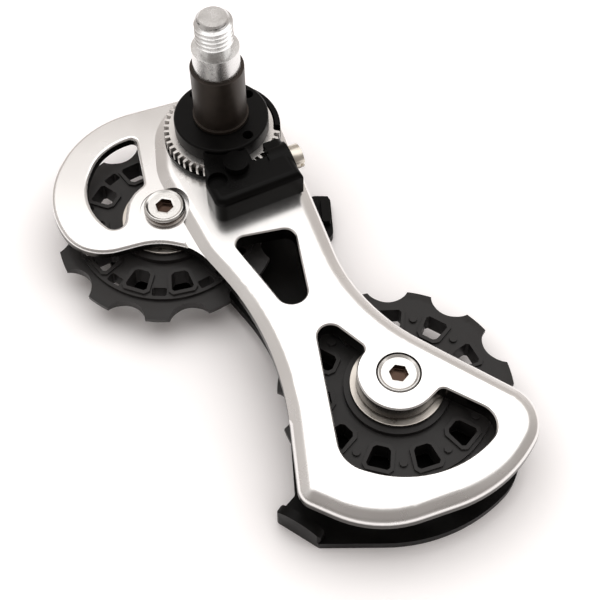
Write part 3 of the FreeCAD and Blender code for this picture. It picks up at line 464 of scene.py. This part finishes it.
def add_bump(material, shader, height, distance):
    """Bump from a height socket into the shader's normal."""
    bump = material.node_tree.nodes.new("ShaderNodeBump")
    bump.inputs["Strength"].default_value = 1.0
    bump.inputs["Distance"].default_value = distance
    material.node_tree.links.new(height, bump.inputs["Height"])
    material.node_tree.links.new(bump.outputs["Normal"], shader.inputs["Normal"])


def tint(material, shader, cloud, colour, factors):
    """Base colour that runs with a cloud of noise between two shades of a colour."""
    ramp = material.node_tree.nodes.new("ShaderNodeValToRGB")
    for stop, position, factor in zip(ramp.color_ramp.elements, COLOUR_NOISE, factors):
        stop.position = position
        stop.color = (*(min(1.0, part * factor) for part in colour), 1.0)
    material.node_tree.links.new(cloud, ramp.inputs["Fac"])
    material.node_tree.links.new(ramp.outputs["Color"], shader.inputs["Base Color"])


def blend_colour(material, shader, mask, colour):
    """Put another colour over the base colour where a mask is 1."""
    blend = material.node_tree.nodes.new("ShaderNodeMix")
    blend.data_type = "RGBA"
    sockets = {socket.identifier: socket for socket in (*blend.inputs, *blend.outputs)}
    sockets["B_Color"].default_value = (*colour, 1.0)
    links = material.node_tree.links
    links.new(mask, sockets["Factor_Float"])
    links.new(shader.inputs["Base Color"].links[0].from_socket, sockets["A_Color"])
    links.new(sockets["Result_Color"], shader.inputs["Base Color"])


def paint_socket_shade(material, shader, vector, radius, level, colour):
    """Paint shade inside a socket: a dark colour within its radius and below its level."""
    recess = add_group(material, recess_group(), Radius=radius, Level=level)
    material.node_tree.links.new(vector, recess.inputs["Vector"])
    blend_colour(material, shader, recess.outputs["Mask"], colour)


def paint_wall_shade(material, colour):
    """Paint shade on the upright walls of a finish: a dark colour there that fades out on level surfaces."""
    nodes, links = material.node_tree.nodes, material.node_tree.links
    shader = next(node for node in nodes if node.type == "BSDF_PRINCIPLED")
    upright = add_group(material, upright_group())
    place = nodes.new("ShaderNodeTexCoord")
    links.new(place.outputs["Normal"], upright.inputs["Normal"])
    blend_colour(material, shader, upright.outputs["Mask"], colour)


def grained(name, colour, roughness, scale, bump, spread, metallic=0.0, gloss=0.5, centre=(0, 0, 0)):
    """A finish with fine grain in roughness, colour and bump."""
    material, shader = new_material(name)
    shader.inputs["Metallic"].default_value = metallic
    shader.inputs["Specular IOR Level"].default_value = gloss
    low, high = roughness
    grain = add_group(material, grain_group(), Scale=scale, Low=low, High=high)
    links = material.node_tree.links
    links.new(object_vector(material, centre), grain.inputs["Vector"])
    links.new(grain.outputs["Roughness"], shader.inputs["Roughness"])
    tint(material, shader, grain.outputs["Cloud"], colour, (1.0 - spread, 1.0 + spread))
    add_bump(material, shader, grain.outputs["Height"], bump)
    return material


def turned_finish(name, colour, roughness, rings, bump, centre=(0, 0, 0), recess=None):
    """Bare metal with a lathe's rings round an upright axis; a socket's painted shade has radius, level and
    colour.
    """
    material, shader = new_material(name)
    shader.inputs["Metallic"].default_value = 1.0
    vector = object_vector(material, centre)
    links = material.node_tree.links
    lathe = add_group(material, turning_group(), Rings=rings)
    low, high = (roughness * factor for factor in TURNED_ROUGHNESS)
    grain = add_group(material, grain_group(), Scale=TURNED_GRAIN, Low=low, High=high)
    links.new(vector, lathe.inputs["Vector"])
    links.new(vector, grain.inputs["Vector"])
    links.new(grain.outputs["Roughness"], shader.inputs["Roughness"])
    tint(material, shader, grain.outputs["Cloud"], colour, TURNED_SHADES)
    add_bump(material, shader, lathe.outputs["Height"], bump)
    # Painted shade inside the bolt's socket, where one is given
    if recess:
        paint_socket_shade(material, shader, vector, *recess)
    return material


# Mesh helpers
def sharp_edges(shape, degrees):
    """Edges of a mesh that turn by more than an angle."""
    limit = math.radians(degrees)
    paired = [edge for edge in shape.edges if len(edge.link_faces) == 2]
    return [edge for edge in paired if edge.calc_face_angle(0.0) > limit]


def joined_copy(node):
    """A bmesh of a CAD node with its loose triangles joined and its flat faces made whole."""
    shape = bmesh.new()
    shape.from_mesh(frame["nodes"][node].data)
    bmesh.ops.remove_doubles(shape, verts=shape.verts, dist=WELD_GAP)
    bmesh.ops.dissolve_limit(
        shape, angle_limit=math.radians(FLAT_TURN), use_dissolve_boundaries=False, verts=shape.verts,
        edges=shape.edges)
    return shape


def finish_piece(shape, node, material, body):
    """Make a bmesh the visible piece of a node: shade it, give it its finish and let it ride on its body."""
    shape.normal_update()
    for face in shape.faces:
        face.smooth = True
    for edge in sharp_edges(shape, SHARP_TURN):
        edge.smooth = False
    name = f"{node}_finished"
    mesh = bpy.data.meshes.new(name)
    shape.to_mesh(mesh)
    shape.free()
    mesh.materials.append(material)
    piece = bpy.data.objects.new(name, mesh)
    bpy.context.scene.collection.objects.link(piece)
    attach(piece, body)
    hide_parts(node)
    weighted = piece.modifiers.new("even_normals", "WEIGHTED_NORMAL")
    weighted.keep_sharp = True


def round_edges(shape, edges, width, segments=EDGE_STEPS, clamp=True):
    """Round off edges of a bmesh."""
    bmesh.ops.bevel(
        shape, geom=edges, offset=width, offset_type="OFFSET", affect="EDGES", segments=segments,
        profile=0.5, material=-1, clamp_overlap=clamp, loop_slide=False)


def soften(node, material, body, width, segments=EDGE_STEPS):
    """A node with its crisp edges rounded off and its own finish."""
    shape = joined_copy(node)
    round_edges(shape, sharp_edges(shape, CRISP_TURN), width, segments)
    finish_piece(shape, node, material, body)


def lobe_edges(plate, turns):
    """Edges of the outer plate at its lobe's level that turn by an angle between two limits."""
    low, high = turns
    found = []
    for edge in sharp_edges(plate, low):
        level = all(abs(vert.co.z - LOBE_LEVEL) < LEVEL_GAP for vert in edge.verts)
        if level and edge.calc_face_angle() <= math.radians(high):
            found.append(edge)
    return found


def gap_to(edge, others):
    """Distance from the middle of an edge to the nearest of other edges."""
    spot = (edge.verts[0].co + edge.verts[1].co) / 2
    gaps = []
    for other in others:
        start, end = (vert.co for vert in other.verts)
        share = intersect_point_line(spot, start, end)[1]
        gaps.append((start.lerp(end, min(1.0, max(0.0, share))) - spot).length)
    return min(gaps)


def chains(edges):
    """Edges sorted into connected chains, the longest first."""
    left = dict.fromkeys(edges)
    found = []
    while left:
        chain = [left.popitem()[0]]
        for edge in chain:
            ties = [other for vert in edge.verts for other in vert.link_edges if other in left]
            for tie in ties:
                del left[tie]
            chain += ties
        found.append(chain)
    return sorted(found, key=lambda chain: -sum(edge.calc_length() for edge in chain))


def round_rim(plate, sizes):
    """Round the guide window, the lobe's rim up to the land's foot, and the rim under the land's bevel."""
    foot = lobe_edges(plate, FOOT_TURNS)
    upright = lobe_edges(plate, WALL_TURNS)
    # The longest chain is the plate's outline and the next one is the guide window
    window = chains(lobe_edges(plate, RIM_TURNS))[1]
    lobe = chains([edge for edge in upright if gap_to(edge, foot) > 2 * sizes.rim_round])[0]
    under = chains(lobe_edges(plate, BEVEL_TURNS))[0]
    round_edges(plate, window, sizes.window_round, WINDOW_STEPS, clamp=False)
    for rim in (lobe, under):
        round_edges(plate, rim, sizes.rim_round, RIM_STEPS, clamp=False)


def crown_keeper(shape, drop):
    """Round the top of the tallest chain keeper, so that it falls towards its two ends."""
    level = max(vert.co.z for vert in shape.verts)

    def on_top(vert):
        """Whether a point lies on the keeper's flat top."""
        return level - vert.co.z < LEVEL_GAP

    tops = [edge for edge in shape.edges if all(on_top(vert) for vert in edge.verts)]
    longest = max(tops, key=lambda edge: edge.calc_length())
    along = (longest.verts[1].co - longest.verts[0].co).normalized()
    spots = [vert.co.dot(along) for edge in tops for vert in edge.verts]
    centre = (max(spots) + min(spots)) / 2
    half = (max(spots) - min(spots)) / 2
    for index in range(1 - KEEPER_CUTS, KEEPER_CUTS):
        faces = [face for face in shape.faces if any(on_top(vert) for vert in face.verts)]
        edges = dict.fromkeys(edge for face in faces for edge in face.edges)
        verts = dict.fromkeys(vert for face in faces for vert in face.verts)
        cut = along * (centre + half * math.sin(math.pi / 2 * index / KEEPER_CUTS))
        bmesh.ops.bisect_plane(
            shape, geom=[*verts, *edges, *faces], dist=CUT_GAP, plane_co=cut, plane_no=along)
    for vert in shape.verts:
        if on_top(vert):
            share = min(1.0, abs(vert.co.dot(along) - centre) / half)
            vert.co.z -= drop * (1.0 - math.sqrt(1.0 - share ** 2))


def dish_head(shape, rim, depth):
    """Sink the middle of a bolt's head behind a raised rim."""
    spots = [vert.co for vert in shape.verts]
    axis = sum(spots, Vector()) / len(spots)
    top = max(vert.co.z for vert in shape.verts)
    flats = [face for face in shape.faces if all(top - vert.co.z < LEVEL_GAP for vert in face.verts)]
    reach = max((vert.co - axis).xy.length for face in flats for vert in face.verts)
    bmesh.ops.inset_region(
        shape, faces=flats, thickness=rim, depth=0.0, use_boundary=True, use_even_offset=True)
    for vert in shape.verts:
        if top - vert.co.z < LEVEL_GAP and (vert.co - axis).xy.length < reach - rim / 2:
            vert.co.z -= depth


def dished_bolt(node, material, sizes):
    """A pulley bolt with a dished head."""
    shape = joined_copy(node)
    dish_head(shape, sizes.head_rim, sizes.head_dish)
    round_edges(shape, sharp_edges(shape, CRISP_TURN), sizes.turned_edge)
    finish_piece(shape, node, material, "cage")


def add_outline(shape, points):
    """Verts and edges of an outline of radii and heights, in a plane through the Z axis."""
    verts = [shape.verts.new((reach, 0.0, height)) for reach, height in points]
    edges = [shape.edges.new(pair) for pair in zip(verts, verts[1:])]
    return verts + edges


def add_thread(shape, pitch, depth, relief):
    """A right-hand thread with a core inside it, from its foot to a chamfered tip."""
    crest = THREAD_RADIUS
    root = crest - depth
    tip = crest - THREAD_BEVEL
    sunk = depth / 4
    start = THREAD_FOOT + relief
    turns = math.floor((STUD_TOP - start) / pitch)
    ridge = [
        (root, start),
        (root, start + RIDGE_FOOT * pitch),
        (crest, start + RIDGE_CREST * pitch),
        (crest, start + (1.0 - RIDGE_CREST) * pitch),
        (root, start + (1.0 - RIDGE_FOOT) * pitch),
        (root, start + pitch),
    ]
    before = set(shape.verts)
    bmesh.ops.spin(
        shape, geom=add_outline(shape, ridge), cent=(0, 0, 0), axis=(0, 0, 1),
        dvec=(0, 0, pitch / THREAD_STEPS), angle=2 * math.pi * turns, steps=THREAD_STEPS * turns,
        use_duplicate=False, use_merge=False, use_normal_flip=False)
    # Where the ridge would pass the chamfer or the stud's end, it sinks just below them
    for vert in shape.verts:
        if vert not in before:
            limit = max(tip - sunk, min(crest, tip + STUD_TOP - vert.co.z))
            reach = vert.co.xy.length
            if reach > limit:
                vert.co.xy *= limit / reach
            vert.co.z = min(vert.co.z, STUD_TOP - sunk)
    shoulder = STUD_TOP - THREAD_BEVEL + depth
    core = [(root, THREAD_FOOT), (root, shoulder), (tip, STUD_TOP), (0.0, STUD_TOP)]
    bmesh.ops.spin(
        shape, geom=add_outline(shape, core), cent=(0, 0, 0), axis=(0, 0, 1), dvec=(0, 0, 0),
        angle=2 * math.pi, steps=THREAD_STEPS, use_duplicate=False, use_merge=True, use_normal_flip=False)
    bmesh.ops.remove_doubles(shape, verts=shape.verts, dist=WELD_GAP)
    bmesh.ops.recalc_face_normals(shape, faces=shape.faces)


def threaded_stud(sizes):
    """The stud, cut off at the foot of its plain end and given a real thread there."""
    shape = joined_copy("pivot_bolt")
    everything = shape.verts[:] + shape.edges[:] + shape.faces[:]
    level = THREAD_FOOT + sizes.stud_cut
    bmesh.ops.bisect_plane(
        shape, geom=everything, dist=CUT_GAP, plane_co=(0, 0, level), plane_no=(0, 0, 1), clear_outer=True)
    bmesh.ops.holes_fill(shape, edges=[edge for edge in shape.edges if edge.is_boundary], sides=0)
    round_edges(shape, sharp_edges(shape, CRISP_TURN), sizes.turned_edge)
    add_thread(shape, sizes.thread_pitch, sizes.thread_depth, sizes.thread_relief)
    return shape


class CAGE_OT_plates(bpy.types.Operator):
    """Polish the outer plate and blacken the inner one"""

    bl_idname = "cage.plates"
    bl_label = "Plates"

    def execute(self, context):
        sizes = context.scene.cage_sizes
        looks = context.scene.cage_looks
        polished = grained(
            "polished_plate", looks.plate, roughness=(0.22, 0.3), scale=420.0, bump=0.0008 * MM,
            spread=0.02, metallic=1.0)
        # Painted shade: the plate's upright walls take a dark colour, whatever light falls on them
        paint_wall_shade(polished, looks.wall_shade)
        black = grained(
            "black_plate", looks.inner, roughness=(0.34, 0.46), scale=1400.0, bump=0.006 * MM,
            spread=0.2, gloss=0.1)
        outer = joined_copy("outer_plate")
        round_rim(outer, sizes)
        finish_piece(outer, "outer_plate", polished, "cage")
        inner = joined_copy("inner_plate")
        crown_keeper(inner, sizes.keeper_drop)
        round_edges(inner, sharp_edges(inner, SHEET_TURN), sizes.moulded_edge)
        finish_piece(inner, "inner_plate", black, "cage")
        return {"FINISHED"}


class CAGE_OT_pulleys(bpy.types.Operator):
    """Finish the two toothed pulleys as charcoal plastic"""

    bl_idname = "cage.pulleys"
    bl_label = "Pulleys"

    def execute(self, context):
        sizes = context.scene.cage_sizes
        looks = context.scene.cage_looks
        for node in ("guide_pulley", "tension_pulley"):
            plastic = grained(
                f"{node}_plastic", looks.pulley, roughness=(0.36, 0.5), scale=1600.0, bump=0.01 * MM,
                spread=0.18, gloss=0.3, centre=middle(node))
            soften(node, plastic, node, sizes.moulded_edge)
        return {"FINISHED"}


class CAGE_OT_bearings(bpy.types.Operator):
    """Finish the pulley bolts, bushes and dust covers"""

    bl_idname = "cage.bearings"
    bl_label = "Bolts and bearings"

    def execute(self, context):
        sizes = context.scene.cage_sizes
        looks = context.scene.cage_looks
        for pulley in ("guide", "tension"):
            bolt = f"{pulley}_bolt"
            centre = middle(bolt)
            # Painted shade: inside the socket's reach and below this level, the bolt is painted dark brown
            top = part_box(bolt)[1][2] - centre.z - sizes.head_dish - sizes.turned_edge
            stainless = turned_finish(
                f"{pulley}_stainless", looks.steel, roughness=0.24, rings=9000.0, bump=0.004 * MM,
                centre=centre, recess=(sizes.socket_reach, top, looks.socket))
            # Painted shade on the upright sides of the bolt's head
            paint_wall_shade(stainless, looks.bolt_side_shade)
            pressed = turned_finish(
                f"{pulley}_pressed", looks.cover, roughness=0.32, rings=6000.0, bump=0.006 * MM,
                centre=centre)
            dished_bolt(bolt, stainless, sizes)
            soften(f"{pulley}_bush", stainless, "cage", sizes.turned_edge)
            for side in ("outer", "inner"):
                soften(f"{pulley}_cover_{side}", pressed, "cage", sizes.turned_edge)
        return {"FINISHED"}


class CAGE_OT_stud(bpy.types.Operator):
    """Turn the pivot stud with its thread, and finish its sleeve and bush"""

    bl_idname = "cage.stud"
    bl_label = "Pivot stud"

    def execute(self, context):
        sizes = context.scene.cage_sizes
        looks = context.scene.cage_looks
        zinc = turned_finish("bright_zinc", looks.zinc, roughness=0.26, rings=8000.0, bump=0.005 * MM)
        oxide = grained(
            "dark_oxide", looks.sleeve, roughness=(0.36, 0.46), scale=2200.0, bump=0.004 * MM,
            spread=0.15, metallic=0.6)
        bronze = grained(
            "sintered_bronze", looks.bronze, roughness=(0.4, 0.55), scale=2600.0, bump=0.01 * MM,
            spread=0.15, metallic=1.0)
        finish_piece(threaded_stud(sizes), "pivot_bolt", zinc, "pivot")
        soften("pivot_sleeve", oxide, "pivot", sizes.turned_edge)
        soften("pivot_bush", bronze, "cage", sizes.turned_edge)
        return {"FINISHED"}


class CAGE_OT_adjuster(bpy.types.Operator):
    """Finish the worm adjuster: spring seat, toothed ring, bracket, worm and screws"""

    bl_idname = "cage.adjuster"
    bl_label = "Worm adjuster"

    def execute(self, context):
        sizes = context.scene.cage_sizes
        looks = context.scene.cage_looks
        satin = grained(
            "satin_black", looks.seat, roughness=(0.3, 0.42), scale=1800.0, bump=0.006 * MM,
            spread=0.15, gloss=0.1)
        machined = turned_finish("machined_ring", looks.ring, roughness=0.3, rings=7000.0, bump=0.004 * MM)
        glossy = grained(
            "glossy_black", looks.bracket, roughness=(0.26, 0.36), scale=1200.0, bump=0.004 * MM,
            spread=0.1, gloss=0.1)
        nickel = grained(
            "warm_nickel", looks.worm, roughness=(0.22, 0.34), scale=2400.0, bump=0.004 * MM,
            spread=0.08, metallic=1.0)
        tooth_edge = sizes.turned_edge / 2
        soften("spring_seat", satin, "adjuster_ring", sizes.turned_edge)
        soften("tension_ring", machined, "adjuster_ring", tooth_edge)
        soften("worm_bracket", glossy, "cage", sizes.moulded_edge, BRACKET_STEPS)
        soften("worm_screw", nickel, "adjuster_screw", tooth_edge)
        for node in ("bracket_screw_front", "bracket_screw_rear"):
            stainless = turned_finish(
                f"{node}_steel", looks.steel, roughness=0.26, rings=9000.0, bump=0.004 * MM,
                centre=middle(node))
            soften(node, stainless, "cage", sizes.turned_edge)
        return {"FINISHED"}


class CAGE_OT_stage(bpy.types.Operator):
    """Set the camera, the white floor and the studio lamps"""

    bl_idname = "cage.stage"
    bl_label = "Stage"

    def execute(self, context):
        stage = context.scene.cage_stage
        place = Vector(stage.camera_place)
        aim = Vector(stage.camera_aim)
        back = ((aim - place) * Vector((1, 1, 0))).normalized()
        self.set_camera(context, stage, place, aim)
        self.lay_floor(context, stage)
        self.light_room(context, stage, back)
        self.hang_lamps(context, stage, aim, back)
        return {"FINISHED"}

    def set_camera(self, context, stage, place, aim):
        """A camera at a place that looks at a point."""
        lens = bpy.data.cameras.new("camera")
        lens.lens = stage.lens
        lens.sensor_width = SENSOR_WIDTH
        lens.clip_start = CLIP_START
        camera = bpy.data.objects.new("camera", lens)
        camera.location = place
        camera.rotation_euler = (aim - place).to_track_quat("-Z", "Y").to_euler()
        context.scene.collection.objects.link(camera)
        context.scene.camera = camera
        context.scene.view_settings.view_transform = "Standard"

    def hang_lamps(self, context, stage, aim, back):
        """A softbox over the cage and a weak white card on its left."""
        left = Vector((-back.y, back.x, 0))
        width = stage.softbox_left + stage.softbox_right
        depth = stage.softbox_back + stage.softbox_front
        over = back * (stage.softbox_back - stage.softbox_front) / 2 + Vector((0, 0, stage.softbox_height))
        over += left * (stage.softbox_left - stage.softbox_right) / 2
        softbox = self.new_lamp(context, "softbox", aim + over, width, depth, stage.softbox_strength)
        softbox.rotation_euler = (0, 0, math.atan2(-back.x, back.y))
        beside = left * stage.card_left + Vector((0, 0, stage.card_height))
        card = self.new_lamp(
            context, "fill_card", aim + beside, stage.card_width, stage.card_depth, stage.card_strength)
        card.rotation_euler = (-beside).to_track_quat("-Z", "Y").to_euler()

    def new_lamp(self, context, name, place, width, depth, radiance):
        """A rectangular lamp of a given radiance."""
        light = bpy.data.lights.new(name, "AREA")
        light.shape = "RECTANGLE"
        light.size = width
        light.size_y = depth
        light.energy = radiance * math.pi * width * depth
        lamp = bpy.data.objects.new(name, light)
        lamp.location = place
        context.scene.collection.objects.link(lamp)
        return lamp

    def lay_floor(self, context, stage):
        """A wide white sheet that the cage lies on."""
        shape = bmesh.new()
        bmesh.ops.create_grid(shape, x_segments=1, y_segments=1, size=FLOOR_HALF)
        bmesh.ops.translate(shape, verts=shape.verts, vec=(0, 0, FLOOR_LEVEL))
        mesh = bpy.data.meshes.new("floor")
        shape.to_mesh(mesh)
        shape.free()
        mesh.materials.append(self.white_paper(stage))
        floor = bpy.data.objects.new("floor", mesh)
        context.scene.collection.objects.link(floor)

    def white_paper(self, stage):
        """White paper with a lift for camera, glossy and transmission rays that fades near the cage, which
        paints a shadow there deeper than the lamps cast.
        """
        material, shader = new_material("white_paper")
        shader.inputs["Roughness"].default_value = PAPER_ROUGHNESS
        shader.inputs["Base Color"].default_value = (*stage.floor, 1.0)
        shader.inputs["Emission Strength"].default_value = stage.floor_lift
        tree = material.node_tree
        path = tree.nodes.new("ShaderNodeLightPath")
        seen = path.outputs["Is Camera Ray"]
        for kind in ("Is Glossy Ray", "Is Transmission Ray"):
            either = add_math(tree, "MAXIMUM")
            tree.links.new(seen, either.inputs[0])
            tree.links.new(path.outputs[kind], either.inputs[1])
            seen = either.outputs["Value"]
        # Painted shadow: the lift fades with the cage's occlusion, so the floor darkens beside and under it
        clear = tree.nodes.new("ShaderNodeAmbientOcclusion")
        clear.inputs["Distance"].default_value = stage.shadow_reach
        fade = add_math(tree, "POWER")
        fade.inputs[1].default_value = stage.shadow_depth
        white = add_math(tree, "MULTIPLY")
        tree.links.new(clear.outputs["AO"], fade.inputs[0])
        tree.links.new(seen, white.inputs[0])
        tree.links.new(fade.outputs["Value"], white.inputs[1])
        tree.links.new(white.outputs["Value"], shader.inputs["Emission Color"])
        return material

    def light_room(self, context, stage, back):
        """A dim room, lighter behind the cage than in front of it."""
        world = bpy.data.worlds.new("room")
        world.use_nodes = True
        tree = world.node_tree
        sky = tree.nodes["Background"]
        place = tree.nodes.new("ShaderNodeTexCoord")
        facing = add_math(tree, "DOT_PRODUCT", "ShaderNodeVectorMath")
        facing.inputs[1].default_value = back
        level = tree.nodes.new("ShaderNodeMapRange")
        level.inputs["From Min"].default_value = -ROOM_FADE
        level.inputs["From Max"].default_value = ROOM_FADE
        level.inputs["To Min"].default_value = stage.room_front
        level.inputs["To Max"].default_value = stage.room_back
        tree.links.new(place.outputs["Generated"], facing.inputs[0])
        tree.links.new(facing.outputs["Value"], level.inputs["Value"])
        tree.links.new(level.outputs["Result"], sky.inputs["Strength"])
        sky.inputs["Color"].default_value = (*stage.room_colour, 1.0)
        context.scene.world = world


OPERATORS = (
    CAGE_OT_plates,
    CAGE_OT_pulleys,
    CAGE_OT_bearings,
    CAGE_OT_stud,
    CAGE_OT_adjuster,
    CAGE_OT_stage,
)


class CAGE_PT_panel(bpy.types.Panel):
    """Buttons for each group of pieces"""

    bl_idname = "CAGE_PT_panel"
    bl_label = "Derailleur cage"
    bl_space_type = "VIEW_3D"
    bl_region_type = "UI"
    bl_category = "Cage"

    def draw(self, context):
        for operator in OPERATORS:
            self.layout.operator(operator.bl_idname)


GROUPS = {"cage_sizes": CageSizes, "cage_looks": CageLooks, "cage_stage": CageStage}


def register():
    """Register the property groups, operators and panel."""
    for name, group in GROUPS.items():
        bpy.utils.register_class(group)
        setattr(bpy.types.Scene, name, bpy.props.PointerProperty(type=group))
    for operator in OPERATORS:
        bpy.utils.register_class(operator)
    bpy.utils.register_class(CAGE_PT_panel)


def unregister():
    """Take the add-on's classes away again."""
    bpy.utils.unregister_class(CAGE_PT_panel)
    for operator in reversed(OPERATORS):
        bpy.utils.unregister_class(operator)
    for name, group in GROUPS.items():
        delattr(bpy.types.Scene, name)
        bpy.utils.unregister_class(group)


def main():
    """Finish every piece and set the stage."""
    register()
    bpy.ops.cage.plates()
    bpy.ops.cage.pulleys()
    bpy.ops.cage.bearings()
    bpy.ops.cage.stud()
    bpy.ops.cage.adjuster()
    bpy.ops.cage.stage()


if __name__ == "__main__":
    main()
